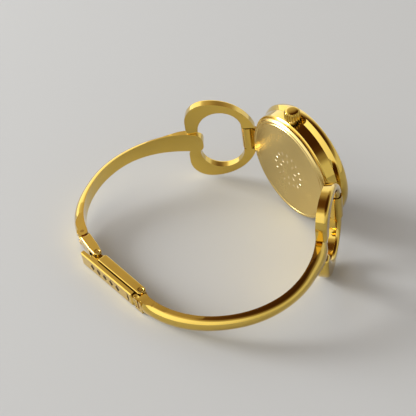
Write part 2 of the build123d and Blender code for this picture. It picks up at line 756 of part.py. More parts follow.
link_x, link_y = in_clasp(*on_arm(arm_end_turn, arm_rise + link_eye_r))
link_reach = 6.6              # from the catch bar to the left arm's eyes, along the clasp
catch_x = link_x - link_reach
catch_y = -0.35
catch_r = 0.4
link_half_t = 1.05
link_end_r = 0.85
link_taper = 2.0              # how far from the bar the link reaches its full thickness
link_room = 0.42              # room round the arm's eyes and the link's knuckle, to swing 60 degrees
link_slot_l = 1.9             # the slot for the tongue's lip, from the bar
tongue_in = -1.1
tongue_out = 0.95
tongue_eye_r = 0.95
tongue_gap = 1.8              # from the tongue's full-height end to the catch bar's axis
tongue_l = catch_x - tongue_gap
tongue_pin_r = 0.4
lip_half_h = 0.65
lip_over = 0.9                # the lip's end, past the bar's axis
lip_in = 0.55
prong_gap = 0.65              # the prong's end, before the bar's axis
prong_in = -0.9
arm_stop_x = -1.25            # where the right arm ends beside the tongue
arm_root_x = -2.6
arm_root_y = -0.1
cover_in = 1.3
cover_out = 2.2
cover_x = 0.35                # the cover's end beside its hinge
cover_over = 2.1              # its free end, past the catch bar's axis
cover_eye_x = -0.55
cover_eye_y = 1.7
cover_eye_r = 0.5
cover_pin_r = 0.25
cover_neck_x = 1.0
cover_edge = 0.2
ear_in = 1.2
groove_at = -1.75
slit_w = 0.35
slit_deep = 0.3
clasp_half = arm_clasp_h / 2


def arm_left():
    """The left arm: its band, and a fork with two eyes for the link's pin."""
    arm = bare_arm()
    arm += clasp(disc(link_eye_r, -clasp_half, clasp_half, link_x, link_y))
    room = disc(link_half_t + link_room, -fork_half, fork_half, link_x, link_y)
    room += slab(link_x - link_half_t - overrun, link_x, link_y - 2 * link_half_t, link_y + 2 * link_half_t,
                 -fork_half, fork_half)
    arm -= clasp(room)
    return arm - clasp(disc(link_pin_r, -arm_h, arm_h, link_x, link_y))


def clasp_link():
    """The short link: two cheeks round the catch bar, and a knuckle in the left arm's fork."""
    length = hypot(link_x - catch_x, link_y - catch_y)
    lean = degrees(atan((link_y - catch_y) / (link_x - catch_x)))
    flat = polygon((0, link_end_r), (link_taper, link_half_t), (length, link_half_t), (length, -link_half_t),
                   (link_taper, -link_half_t), (0, -link_end_r))
    body = raised(flat, -clasp_half, clasp_half) + disc(link_end_r, -clasp_half, clasp_half)
    body += disc(link_half_t, -knuckle_half, knuckle_half, length, 0)
    body -= slab(-link_end_r - overrun, link_slot_l, -arm_h, arm_h, -fork_half, fork_half)
    body -= (disc(link_eye_r + link_room, -arm_h, arm_h, length, 0)
             - disc(link_eye_r + overrun, -knuckle_half, knuckle_half, length, 0))
    body -= disc(link_pin_r + running, -arm_h, arm_h, length, 0)
    body -= disc(catch_r, -arm_h, arm_h)
    return clasp(Pos(catch_x, catch_y, 0) * Rot(0, 0, lean) * body)


def arm_right():
    """The right arm: its band, a middle knuckle for the tongue and two ears for the cover."""
    arm = right(bare_arm(right_turns))
    arm -= clasp(slab(arm_stop_x, -arm_stop_x + arm_h, -2 * arm_h, 2 * arm_h, -arm_h, arm_h))
    root = polygon((arm_root_x, arm_root_y), (0, -tongue_eye_r), (0, tongue_eye_r),
                   (arm_root_x, tongue_eye_r))
    arm += clasp(raised(root, -knuckle_half, knuckle_half) + disc(tongue_eye_r, -knuckle_half, knuckle_half))
    ears = slab(arm_root_x, cover_eye_x, ear_in, cover_out, -clasp_half, clasp_half)
    ears += disc(cover_eye_r, -clasp_half, clasp_half, cover_eye_x, cover_eye_y)
    arm += clasp(ears)
    arm -= clasp(slab(arm_stop_x, cover_x, (tongue_eye_r + ear_in) / 2, cover_out + overrun,
                      -fork_half - play, fork_half + play))
    arm -= clasp(slab(groove_at - slit_w / 2, groove_at + slit_w / 2, cover_out - slit_deep,
                      cover_out + overrun, -knuckle_half, arm_h))
    arm -= clasp(disc(tongue_pin_r, -arm_h, arm_h))
    return arm - clasp(disc(cover_pin_r, -arm_h, arm_h, cover_eye_x, cover_eye_y))


def clasp_tongue():
    """The tongue: a fork on the right arm's knuckle, and a lip that reaches over the catch bar."""
    flat = polygon((0, tongue_eye_r), (tongue_l, tongue_out), (tongue_l, tongue_in), (0, -tongue_eye_r))
    tongue = raised(flat, -clasp_half, clasp_half) + disc(tongue_eye_r, -clasp_half, clasp_half)
    tongue += slab(tongue_l - overrun, catch_x + lip_over, lip_in, tongue_out, -lip_half_h, lip_half_h)
    tongue += slab(tongue_l - overrun, catch_x - prong_gap, prong_in, tongue_out, -lip_half_h, lip_half_h)
    room = disc(tongue_eye_r + sweep, -fork_half, fork_half)
    room += slab(-tongue_eye_r - overrun, 0, -arm_h, arm_h, -fork_half, fork_half)
    return clasp(tongue - room - disc(tongue_pin_r + running, -arm_h, arm_h))


def clasp_cover():
    """The cover: a plate with bevelled edges and a knuckle between the right arm's ears."""
    plate = slab(cover_x, catch_x + cover_over, cover_in, cover_out, -cover_h / 2, cover_h / 2)
    plate = chamfer(plate.faces().sort_by(Axis.Y)[-1].edges(), cover_edge)
    plate += slab(cover_eye_x, cover_neck_x, cover_in, cover_out - cover_edge, -fork_half, fork_half)
    plate += disc(cover_eye_r, -fork_half, fork_half, cover_eye_x, cover_eye_y)
    return clasp(plate - disc(cover_pin_r + running, -arm_h, arm_h, cover_eye_x, cover_eye_y))


parts["arm_left"] = arm_left()
parts["arm_right"] = arm_right()
parts["clasp_link"] = clasp_link()
parts["link_pin"] = clasp(disc(link_pin_r, -clasp_half, clasp_half, link_x, link_y))
parts["catch_bar"] = clasp(disc(catch_r, -clasp_half, clasp_half, catch_x, catch_y))
parts["clasp_tongue"] = clasp_tongue()
parts["tongue_pin"] = clasp(disc(tongue_pin_r, -clasp_half, clasp_half))
parts["clasp_cover"] = clasp_cover()
parts["cover_pin"] = clasp(disc(cover_pin_r, -clasp_half, clasp_half, cover_eye_x, cover_eye_y))


# As it lies: the bezel's edge and the whole lower edge of the cover touch the table
def lying():
    """Turns the loop about the clasp's direction until the bezel is as low as the cover."""
    a = radians(clasp_lean)
    cover_reach = clasp_x * cos(a) + clasp_y * sin(a) - cover_out
    head_reach = (head_x + widest_high) * cos(a)
    slope = 0
    for _ in range(5):
        slope = (widest_r * sqrt(1 + (sin(a) * slope) ** 2) - cover_h / 2) / (head_reach - cover_reach)
    tilt = atan(slope)
    floor = Plane(origin=(0, 0, 0), x_dir=(-sin(a), cos(a), 0),
                  z_dir=(sin(tilt) * cos(a), sin(tilt) * sin(a), cos(tilt)))
    print("tilt", round(degrees(tilt), 3))
    return Rot(0, 0, 90 + clasp_lean) * floor.location.inverse()


turn = lying()
box = Compound([turn * shape for shape in parts.values()]).bounding_box()
place = Pos(-(box.min.X + box.max.X) / 2, -(box.min.Y + box.max.Y) / 2, -box.min.Z) * turn
print("size", box.size)
print("place", place)

os.makedirs("parts", exist_ok=True)
for name, shape in parts.items():
    export_step(place * shape, f"parts/{name}.step")
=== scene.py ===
"""A ladies' bangle watch in polished yellow metal, dressed for the camera on a pale table."""
import bpy
import bmesh
from functools import partial
from math import asin, cos, pi, radians, sin, tan
from mathutils import Matrix, Vector


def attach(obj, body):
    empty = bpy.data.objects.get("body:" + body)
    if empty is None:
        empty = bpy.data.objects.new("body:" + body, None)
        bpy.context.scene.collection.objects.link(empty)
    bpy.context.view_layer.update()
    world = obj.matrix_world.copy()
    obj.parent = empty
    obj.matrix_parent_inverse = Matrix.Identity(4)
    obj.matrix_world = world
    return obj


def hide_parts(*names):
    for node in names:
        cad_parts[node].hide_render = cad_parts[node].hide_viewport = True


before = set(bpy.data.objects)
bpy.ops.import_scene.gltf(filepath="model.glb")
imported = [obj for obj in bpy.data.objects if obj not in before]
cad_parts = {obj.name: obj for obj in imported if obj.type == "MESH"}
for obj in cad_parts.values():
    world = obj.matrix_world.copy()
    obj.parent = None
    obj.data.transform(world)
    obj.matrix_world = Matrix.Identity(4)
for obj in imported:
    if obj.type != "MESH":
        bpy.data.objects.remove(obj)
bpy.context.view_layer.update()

# The loop's own frame
# The bangle is measured in its own frame, in millimetres: Z is the axis of the wrist loop on the
# crown's side, X runs from the clasp to the head. It lies on the table on the bezel and the cover.
clasp_lean = radians(5.5)        # the clasp's lean from Y
lying_tilt = radians(13.274)     # the lean of the loop's axis from upright, as the watch lies
loop_origin = Vector((-7.4088, 0.0084, 5.8188))    # in the part's frame, which is level
clasp_way = Vector((-sin(clasp_lean), cos(clasp_lean), 0))
table_up = Vector((sin(lying_tilt) * cos(clasp_lean), sin(lying_tilt) * sin(clasp_lean),
                   cos(lying_tilt)))
lying_turn = Matrix.Rotation(radians(90) + clasp_lean, 3, "Z") @ Matrix(
    (clasp_way, table_up.cross(clasp_way), table_up))
loop_place = Matrix.Scale(0.001, 4) @ Matrix.Translation(loop_origin) @ lying_turn.to_4x4()

# Case, back and bezel
# A turned drum with a snap back inside the loop and a flared bezel pressed on its front, all in
# yellow metal. They are turned on a lathe and polished on a cloth wheel; the back's disc is satin.
head_x = 27.04                   # the rim of the case's back, from the loop's axis
head_place = loop_place @ Matrix(((0, 0, 1, head_x), (0, -1, 0, 0), (1, 0, 0, 0), (0, 0, 0, 1)))


def reckoned(tree, operation, *values):
    """A math node's result, where each value is a number or a socket."""
    step = tree.nodes.new("ShaderNodeMath")
    step.operation = operation
    for socket, value in zip(step.inputs, values):
        if isinstance(value, (int, float)):
            socket.default_value = value
        else:
            tree.links.new(value, socket)
    return step.outputs[0]


def metal_wear_group():
    """Waviness of the polish, hairlines and faint stains, over the surface."""
    tree = bpy.data.node_groups.new("handled metal", "ShaderNodeTree")
    for name, kind, start in (
            ("Colour", "NodeSocketColor", (0.8, 0.6, 0.3, 1)), ("Tone", "NodeSocketFloat", 0.08),
            ("Roughness", "NodeSocketFloat", 0.1), ("Hairlines", "NodeSocketFloat", 0.1),
            ("Waviness", "NodeSocketFloat", 0.1), ("Stretch", "NodeSocketFloat", 20.0)):
        tree.interface.new_socket(name, in_out="INPUT", socket_type=kind).default_value = start
    for name, kind in (("Colour", "NodeSocketColor"), ("Roughness", "NodeSocketFloat"),
                       ("Normal", "NodeSocketVector")):
        tree.interface.new_socket(name, in_out="OUTPUT", socket_type=kind)
    node, link = tree.nodes.new, tree.links.new
    given, made = node("NodeGroupInput"), node("NodeGroupOutput")
    where, drawn = node("ShaderNodeTexCoord"), node("ShaderNodeCombineXYZ")
    drawn.inputs["X"].default_value = 1
    drawn.inputs["Y"].default_value = 1
    link(given.outputs["Stretch"], drawn.inputs["Z"])
    pulled = node("ShaderNodeVectorMath")
    pulled.operation = "MULTIPLY"
    link(where.outputs["Object"], pulled.inputs[0])
    link(drawn.outputs[0], pulled.inputs[1])

    def cloud(place, scale, detail):
        noise = node("ShaderNodeTexNoise")
        noise.inputs["Scale"].default_value = scale
        noise.inputs["Detail"].default_value = detail
        link(place, noise.inputs["Vector"])
        return noise.outputs["Fac"]

    scaled = partial(reckoned, tree, "MULTIPLY_ADD")
    stain = cloud(where.outputs["Object"], scale=260, detail=3)
    wave = cloud(where.outputs["Object"], scale=180, detail=1)
    hair = cloud(pulled.outputs[0], scale=900, detail=4)
    shade = node("ShaderNodeHueSaturation")
    link(given.outputs["Colour"], shade.inputs["Color"])
    link(scaled(scaled(stain, 2, -1), given.outputs["Tone"], 1), shade.inputs["Value"])
    link(shade.outputs[0], made.inputs["Colour"])
    link(scaled(scaled(hair, stain, 0), given.outputs["Hairlines"], given.outputs["Roughness"]),
         made.inputs["Roughness"])
    slow, fine = node("ShaderNodeBump"), node("ShaderNodeBump")
    slow.inputs["Distance"].default_value = 0.0004
    link(wave, slow.inputs["Height"])
    link(given.outputs["Waviness"], slow.inputs["Strength"])
    fine.inputs["Distance"].default_value = 0.00001
    link(hair, fine.inputs["Height"])
    link(given.outputs["Hairlines"], fine.inputs["Strength"])
    link(slow.outputs[0], fine.inputs["Normal"])
    link(fine.outputs[0], made.inputs["Normal"])
    return tree


handled_metal = metal_wear_group()


def finish_of(name, colour, roughness, metallic=1.0, tone=0.06, hairlines=0.06, waviness=0.06,
              stretch=20.0):
    """A material whose colour, roughness and normal come from the handled metal."""
    material = bpy.data.materials.new(name)
    material.use_nodes = True
    tree = material.node_tree
    shader = tree.nodes["Principled BSDF"]
    shader.inputs["Metallic"].default_value = metallic
    group = tree.nodes.new("ShaderNodeGroup")
    group.node_tree = handled_metal
    for socket, value in (("Colour", (*colour, 1)), ("Tone", tone), ("Roughness", roughness),
                          ("Hairlines", hairlines), ("Waviness", waviness), ("Stretch", stretch)):
        group.inputs[socket].default_value = value
    for socket, target in (("Colour", "Base Color"), ("Roughness", "Roughness"),
                           ("Normal", "Normal")):
        tree.links.new(group.outputs[socket], shader.inputs[target])
    return material


polished_gold = finish_of("polished gold", (0.69, 0.475, 0.085), 0.06)
polished_gold.node_tree.nodes["Principled BSDF"].inputs["Coat Weight"].default_value = 0.5
satin_gold = finish_of("satin gold", (0.7, 0.53, 0.2), 0.18, hairlines=0.25, stretch=30.0)
edge_turn = radians(34)          # a sharper turn than this between two faces is an edge


def fitted(name, mesh, body, node, material=None, edge=0.0):
    """Makes a mesh the piece that stands for a CAD node, with edges softened in millimetres."""
    piece = bpy.data.objects.new(name, mesh)
    bpy.context.scene.collection.objects.link(piece)
    if material:
        mesh.materials.clear()
        mesh.materials.append(material)
    mesh.shade_smooth()
    mesh.set_sharp_from_angle(angle=edge_turn)
    if edge:
        bevel = piece.modifiers.new("softened edges", "BEVEL")
        bevel.width = edge / 1000
        bevel.segments = 3
        bevel.limit_method = "ANGLE"
        bevel.angle_limit = edge_turn
        bevel.harden_normals = True
    even = piece.modifiers.new("even normals", "WEIGHTED_NORMAL")
    even.keep_sharp = True
    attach(piece, body)
    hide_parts(node)
    return piece


def new_tree(title, **inputs):
    """A Geometry Nodes tree with the inputs named, each with its kind, and its input node."""
    tree = bpy.data.node_groups.new(title, "GeometryNodeTree")
    for name, kind in inputs.items():
        tree.interface.new_socket(name.replace("_", " "), in_out="INPUT",
                                  socket_type="NodeSocket" + kind)
    tree.interface.new_socket("Made", in_out="OUTPUT", socket_type="NodeSocketGeometry")
    return tree, tree.nodes.new("NodeGroupInput")


def put_out(tree, shape, metal):
    """Ends a tree: makes its instances real and gives them their metal."""
    real = tree.nodes.new("GeometryNodeRealizeInstances")
    coated = tree.nodes.new("GeometryNodeSetMaterial")
    made = tree.nodes.new("NodeGroupOutput")
    tree.links.new(shape, real.inputs[0])
    tree.links.new(real.outputs[0], coated.inputs[0])
    tree.links.new(metal, coated.inputs["Material"])
    tree.links.new(coated.outputs[0], made.inputs[0])


def flute_shift(tree, given):
    """How far each point of a turned shape moves inward, for round grooves along its rim."""
    node, link, reckon = tree.nodes.new, tree.links.new, partial(reckoned, tree)
    place, axes = node("GeometryNodeInputPosition"), node("ShaderNodeSeparateXYZ")
    link(place.outputs[0], axes.inputs[0])
    x, y, z = axes.outputs
    flutes, rim = given.outputs["Flutes"], given.outputs["Rim"]
    turns = reckon("MULTIPLY", reckon("ARCTAN2", y, x), reckon("DIVIDE", flutes, 2 * pi))
    from_groove = reckon("SUBTRACT", reckon("FRACT", reckon("ADD", turns, 0.5)), 0.5)
    pitch = reckon("DIVIDE", reckon("MULTIPLY", rim, 2 * pi), flutes)
    aside = reckon("POWER", reckon("ABSOLUTE", reckon("MULTIPLY", from_groove, pitch)), 2)
    depth = reckon("SQRT", reckon("MAXIMUM", reckon(
        "SUBTRACT", reckon("POWER", given.outputs["Flute radius"], 2), aside), 0))
    radius = reckon("SQRT", reckon("ADD", reckon("MULTIPLY", x, x), reckon("MULTIPLY", y, y)))
    on_rim = reckon("MULTIPLY", reckon("LESS_THAN", z, given.outputs["Flutes end"]),
                    reckon("GREATER_THAN", radius, reckon("MULTIPLY", rim, 0.9)))

    flat, outward, shift = (node("ShaderNode" + kind) for kind in (
        "CombineXYZ", "VectorMath", "VectorMath"))
    link(x, flat.inputs["X"])
    link(y, flat.inputs["Y"])
    outward.operation = "NORMALIZE"
    link(flat.outputs[0], outward.inputs[0])
    shift.operation = "SCALE"
    link(outward.outputs[0], shift.inputs[0])
    link(reckon("MULTIPLY", reckon("MULTIPLY", depth, on_rim), -1), shift.inputs["Scale"])
    return shift.outputs[0]


def lathe_tree():
    """Turns a section round the lathe's axis and cuts flutes in its rim."""
    tree, given = new_tree("lathe", Section="Geometry", Sides="Int", Centre="Float",
                           Flutes="Float", Flute_radius="Float", Rim="Float", Flutes_end="Float",
                           Metal="Material")
    node, link = tree.nodes.new, tree.links.new
    section, circle = node("GeometryNodeMeshToCurve"), node("GeometryNodeCurvePrimitiveCircle")
    turned, merged = node("GeometryNodeCurveToMesh"), node("GeometryNodeMergeByDistance")
    link(given.outputs["Section"], section.inputs[0])
    link(given.outputs["Sides"], circle.inputs["Resolution"])
    link(given.outputs["Centre"], circle.inputs["Radius"])
    link(circle.outputs[0], turned.inputs["Curve"])
    link(section.outputs[0], turned.inputs["Profile Curve"])
    link(turned.outputs[0], merged.inputs[0])
    merged.inputs["Distance"].default_value = 0.0005

    moved = node("GeometryNodeSetPosition")
    link(merged.outputs[0], moved.inputs[0])
    link(flute_shift(tree, given), moved.inputs["Offset"])
    put_out(tree, moved.outputs[0], given.outputs["Metal"])
    return tree


def grown(tree, seed, **values):
    """The plain mesh that a tree makes of a seed mesh, with the tree's named inputs."""
    holder = bpy.data.objects.new("seed", seed)
    bpy.context.scene.collection.objects.link(holder)
    modifier = holder.modifiers.new("tree", "NODES")
    modifier.node_group = tree
    for item in tree.interface.items_tree:
        name = item.name.replace(" ", "_")
        if item.in_out == "INPUT" and name in values:
            modifier[item.identifier] = values[name]
    holder.update_tag()
    ready = holder.evaluated_get(bpy.context.evaluated_depsgraph_get())
    mesh = bpy.data.meshes.new_from_object(ready)
    holder.modifiers.clear()
    bpy.data.objects.remove(holder)
    return mesh


lathe = lathe_tree()
lathe_centre = 20.0              # a section is led round this circle, and points to its centre


def softened(corners, steps=5):
    """A section's points, with each corner given as radius, height and rounding."""
    points = []
    for i, (x, y, rounding) in enumerate(corners):
        here = Vector((x, y))
        if rounding == 0:
            points.append(here)
            continue
        a = (Vector(corners[i - 1][:2]) - here).normalized()
        b = (Vector(corners[(i + 1) % len(corners)][:2]) - here).normalized()
        half = a.angle(b) / 2
        centre = here + (a + b).normalized() * rounding / sin(half)
        first = (here + a * rounding / tan(half) - centre).normalized()
        last = (here + b * rounding / tan(half) - centre).normalized()
        points += [centre + first.slerp(last, k / steps) * rounding for k in range(steps + 1)]
    return points


def arc_through(a, b, c, steps=8):
    """Points of the arc from a to c by way of b, without its ends, as corners with no rounding."""
    (ax, ay), (bx, by), (cx, cy) = a, b, c
    a_far, b_far, c_far = ax * ax + ay * ay, bx * bx + by * by, cx * cx + cy * cy
    d = 2 * (ax * (by - cy) + bx * (cy - ay) + cx * (ay - by))
    centre = Vector(((a_far * (by - cy) + b_far * (cy - ay) + c_far * (ay - by)) / d,
                     (a_far * (cx - bx) + b_far * (ax - cx) + c_far * (bx - ax)) / d))
    radius = (Vector(a) - centre).length
    first, last = (Vector(a) - centre).normalized(), (Vector(c) - centre).normalized()
    return [(*(centre + first.slerp(last, k / steps) * radius), 0) for k in range(1, steps)]


def turned_mesh(corners, closed, place, material, sides=192, flutes=1.0, flute_radius=0.0,
                rim=1.0, flutes_end=-100.0):
    """A mesh turned from a section's corners, set in place, with its faces outward."""
    points = softened(corners)
    edges = [(i, i + 1) for i in range(len(points) - 1)]
    if closed:
        edges.append((len(points) - 1, 0))
    section = bpy.data.meshes.new("section")
    section.from_pydata([(x - lathe_centre, -y, 0) for x, y in points], edges, [])
    mesh = grown(lathe, section, Sides=sides, Centre=lathe_centre, Flutes=flutes,
                 Flute_radius=flute_radius, Rim=rim, Flutes_end=flutes_end, Metal=material)
    mesh.transform(place)
    shell = bmesh.new()
    shell.from_mesh(mesh)
    bmesh.ops.recalc_face_normals(shell, faces=shell.faces)
    shell.to_mesh(mesh)
    shell.free()
    return mesh


rim_r = 12.06                    # the case's flank, at the rim of the back
rim_chamfer = 0.2
flank_r = 12.3                   # and where the bezel begins
bezel_low = 2.2
neck_r = 11.7                    # the bezel is pressed on this neck
neck_high = 3.0
bore_r = 10.9
recess_r = 11.2                  # the recess of the snap back
recess_high = 0.8
case_section = [(recess_r, 0, 0), (rim_r - rim_chamfer, 0, 0.05), (rim_r, rim_chamfer, 0.08),
                (flank_r, bezel_low, 0.05), (neck_r, bezel_low, 0), (neck_r, neck_high, 0),
                (bore_r, neck_high, 0), (bore_r, recess_high, 0), (recess_r, recess_high, 0)]
fitted("case_drum", turned_mesh(case_section, True, head_place, polished_gold), "case",
       "case_middle")

widest_r = 13.0
widest_high = 3.1
flare_middle = (12.66, 2.62)     # the bezel is hollow below its widest, and bulges above it
bulge_middle = (12.9, 3.75)
shoulder_r = 12.6
shoulder_high = 4.4
face_r = 11.65
bezel_high = 5.0
opening_r = 10.75                # the crystal's gasket fills the opening
lip_r = 9.9                      # and the crystal rests on the lip
lip_high = 4.2
flare = arc_through((flank_r, bezel_low), flare_middle, (widest_r, widest_high))
bulge = arc_through((widest_r, widest_high), bulge_middle, (shoulder_r, shoulder_high))
bezel_section = [(flank_r, bezel_low, 0), *flare, (widest_r, widest_high, 0.06), *bulge,
                 (shoulder_r, shoulder_high, 0.06), (face_r, bezel_high, 0.06),
                 (opening_r, bezel_high, 0.04), (opening_r, lip_high, 0), (lip_r, lip_high, 0),
                 (lip_r, neck_high, 0), (neck_r, neck_high, 0), (neck_r, bezel_low, 0)]
fitted("bezel_ring", turned_mesh(bezel_section, True, head_place, polished_gold), "case",
       "bezel")


def set_outward(tree, points, shape):
    """A shape set at each point, with its X away from the middle."""
    node, link = tree.nodes.new, tree.links.new
    place, turn = node("GeometryNodeInputPosition"), node("FunctionNodeAlignRotationToVector")
    spots = node("GeometryNodeInstanceOnPoints")
    turn.axis = "X"
    link(place.outputs[0], turn.inputs["Vector"])
    link(points, spots.inputs["Points"])
    link(shape, spots.inputs["Instance"])
    link(turn.outputs[0], spots.inputs["Rotation"])
    return spots.outputs[0]


def mark_tree():
    """Sets a pyramid with four sides at each vertex of a seed, turned away from the middle."""
    tree, given = new_tree("chip cuts", Seed="Geometry", Length="Float", Width="Float",
                           Depth="Float", Metal="Material")
    node, link = tree.nodes.new, tree.links.new
    cone, size = node("GeometryNodeMeshCone"), node("ShaderNodeCombineXYZ")
    sized = node("GeometryNodeTransform")
    for socket, value in (("Vertices", 4), ("Radius Top", 0), ("Radius Bottom", 0.5), ("Depth", 1)):
        cone.inputs[socket].default_value = value
    for axis, name in (("X", "Length"), ("Y", "Width"), ("Z", "Depth")):
        link(given.outputs[name], size.inputs[axis])
    link(cone.outputs[0], sized.inputs["Geometry"])
    link(size.outputs[0], sized.inputs["Scale"])
    marks = set_outward(tree, given.outputs["Seed"], sized.outputs[0])
    put_out(tree, marks, given.outputs["Metal"])
    return tree


chip_cuts = mark_tree()
cut_proud = 0.02                 # a chip cut begins this far outside the face that it cuts


def combined(mesh, other, operation):
    """The mesh that two closed meshes make, each keeping its materials."""
    tool = bpy.data.objects.new("tool", other)
    plain = bpy.data.objects.new("plain", mesh)
    for helper in (tool, plain):
        bpy.context.scene.collection.objects.link(helper)
    cutting = plain.modifiers.new("cuts", "BOOLEAN")
    cutting.operation = operation
    cutting.object = tool
    cutting.solver = "EXACT"
    cutting.material_mode = "TRANSFER"
    ready = plain.evaluated_get(bpy.context.evaluated_depsgraph_get())
    made = bpy.data.meshes.new_from_object(ready)
    for helper in (tool, plain):
        bpy.data.objects.remove(helper)
    return made


def engraved(mesh, spots, place, metal, length, width, depth):
    """A copy of a mesh with a lozenge cut in at each spot, its walls in their own material: a painted
    highlight on the back, painted shade on the cover.
    """
    seed = bpy.data.meshes.new("spots")
    seed.from_pydata([(x, y, 0) for x, y in spots], [], [])
    cuts = grown(chip_cuts, seed, Length=length, Width=width, Depth=depth, Metal=metal)
    cuts.transform(place)
    return combined(mesh, cuts, "DIFFERENCE")


back_r = 11.6
back_proud = 0.83                # how far the back stands out behind the case's rim
back_bevel_w = 0.35
back_bevel_h = 0.38
groove_r = 10.7                  # a turned line round the disc
groove_deep = 0.13
groove_in = 0.1
groove_out = 0.15
snap_r = 10.75                   # the wall that snaps into the case
snap_wall_t = 0.3
snap_wall_high = 0.7
back_section = [(0, -back_proud, 0), (groove_r - groove_in, -back_proud, 0.03),
                (groove_r, groove_deep - back_proud, 0.03),
                (groove_r + groove_out, -back_proud, 0.04),
                (back_r - back_bevel_w, -back_proud, 0.05),
                (back_r, back_bevel_h - back_proud, 0.08), (back_r, 0, 0), (snap_r, 0, 0),
                (snap_r, snap_wall_high, 0), (snap_r - snap_wall_t, snap_wall_high, 0),
                (snap_r - snap_wall_t, 0, 0), (0, 0, 0)]
back_disc = turned_mesh(back_section, False, head_place, satin_gold)
rosette_rings = ((2.2, 8), (3.9, 16))    # each ring's radius and its number of cuts
rosette = [(r * cos(turn), r * sin(turn)) for r, count in rosette_rings
           for turn in (2 * pi * k / count for k in range(count))]
back_face = head_place @ Matrix.Translation((0, 0, -(back_proud + cut_proud)))
# The cuts' walls are painted much paler than the disc's gold: a painted highlight for the glints of
# the polished cuts.
glint_painted_cut = finish_of("bright cut gold with painted glint", (0.95, 0.8, 0.5), 0.12)
back_disc = engraved(back_disc, rosette, back_face, glint_painted_cut, length=1.1, width=0.6, depth=0.2)
fitted("snap_back", back_disc, "case", "case_back")

# Crystal, dial and hands
# A flat mineral glass is pressed into a soft ring. Under it lie a lacquered dial, with twelve gilt
# batons riveted to it, and two gilt hands, pushed on the pipes of their wheels.
glass = bpy.data.materials.new("mineral glass")
glass.use_nodes = True
glass_shader = glass.node_tree.nodes["Principled BSDF"]
glass_shader.inputs["Transmission Weight"].default_value = 1
glass_shader.inputs["IOR"].default_value = 1.5
smudge = glass.node_tree.nodes.new("ShaderNodeGroup")
smudge.node_tree = handled_metal
for socket, value in (("Colour", (0.97, 0.99, 0.99, 1)), ("Tone", 0.01), ("Roughness", 0.01),
                      ("Hairlines", 0.01), ("Waviness", 0.0)):
    smudge.inputs[socket].default_value = value
glass.node_tree.links.new(smudge.outputs["Colour"], glass_shader.inputs["Base Color"])
glass.node_tree.links.new(smudge.outputs["Roughness"], glass_shader.inputs["Roughness"])
crystal_r = 10.4
crystal_high = 5.2
crystal_bevel_w = 0.15
glass_section = [(0, lip_high, 0), (crystal_r, lip_high, 0), (crystal_r, bezel_high, 0),
                 (crystal_r - crystal_bevel_w, crystal_high, 0.03), (0, crystal_high, 0)]
fitted("watch_glass", turned_mesh(glass_section, False, head_place, glass), "case",
       "crystal")


def baton_tree():
    """Sets equal batons round a dial."""
    tree, given = new_tree("batons", Seed="Geometry", Count="Int", Radius="Float",
                           Length="Float", Width="Float", Height="Float", Metal="Material")
    node, link = tree.nodes.new, tree.links.new
    circle, box = node("GeometryNodeMeshCircle"), node("GeometryNodeMeshCube")
    size = node("ShaderNodeCombineXYZ")
    link(given.outputs["Count"], circle.inputs["Vertices"])
    link(given.outputs["Radius"], circle.inputs["Radius"])
    for axis, name in (("X", "Length"), ("Y", "Width"), ("Z", "Height")):
        link(given.outputs[name], size.inputs[axis])
    link(size.outputs[0], box.inputs["Size"])
    batons = set_outward(tree, circle.outputs[0], box.outputs[0])
    put_out(tree, batons, given.outputs["Metal"])
    return tree


dial_high = neck_high
baton_t = 0.15
baton_middle_r = 8.65
gilt = finish_of("gilt", (0.9, 0.66, 0.28), 0.12)
batons = grown(baton_tree(), bpy.data.meshes.new("dial"), Count=12, Radius=baton_middle_r,
               Length=1.5, Width=0.4, Height=baton_t, Metal=gilt)
batons.transform(head_place @ Matrix.Translation((0, 0, dial_high + baton_t / 2)))
fitted("dial_batons", batons, "case", "hour_markers", edge=0.03)


def coat(material, *nodes):
    """Gives CAD nodes that stay as they are their material."""
    for node in nodes:
        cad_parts[node].data.materials.clear()
        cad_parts[node].data.materials.append(material)


coat(gilt, "hour_hand", "minute_hand")
coat(finish_of("dial lacquer", (0.78, 0.7, 0.52), 0.35, metallic=0.3, tone=0.03, hairlines=0.1),
     "dial")
coat(finish_of("gasket rubber", (0.03, 0.03, 0.032), 0.6, metallic=0.0, tone=0.2, hairlines=0.3),
     "crystal_gasket", "case_back_gasket", "crown_gasket")

# Movement
# A standard quartz movement, screwed together: a brass base plate and bridge, steel parts, a copper
# coil, a green circuit board and gilt wheels. A white moulded ring holds it in the case.
coat(finish_of("moulded white", (0.78, 0.78, 0.74), 0.45, metallic=0.0, tone=0.03, hairlines=0.1),
     "movement_ring")
coat(finish_of("plated brass", (0.72, 0.63, 0.4), 0.28, tone=0.08, hairlines=0.4),
     "main_plate", "train_bridge", "battery_clamp", "crown_tube")
coat(finish_of("fine steel", (0.55, 0.55, 0.56), 0.22, hairlines=0.3),
     "winding_stem", "setting_lever", "sliding_pinion", "movement_screws", "battery_cell",
     "oscillator_can", "stator")
coat(finish_of("wheel brass", (0.8, 0.62, 0.28), 0.2, hairlines=0.2),
     "centre_wheel", "third_wheel", "minute_wheel", "hour_wheel")
coat(finish_of("magnet", (0.12, 0.12, 0.13), 0.5, tone=0.2, hairlines=0.4), "rotor")
coat(finish_of("enamelled copper", (0.6, 0.24, 0.1), 0.3, tone=0.15, hairlines=0.5, stretch=60.0),
     "coil")
coat(finish_of("solder mask", (0.04, 0.17, 0.08), 0.35, metallic=0.0, tone=0.15, hairlines=0.2),
     "circuit_board")

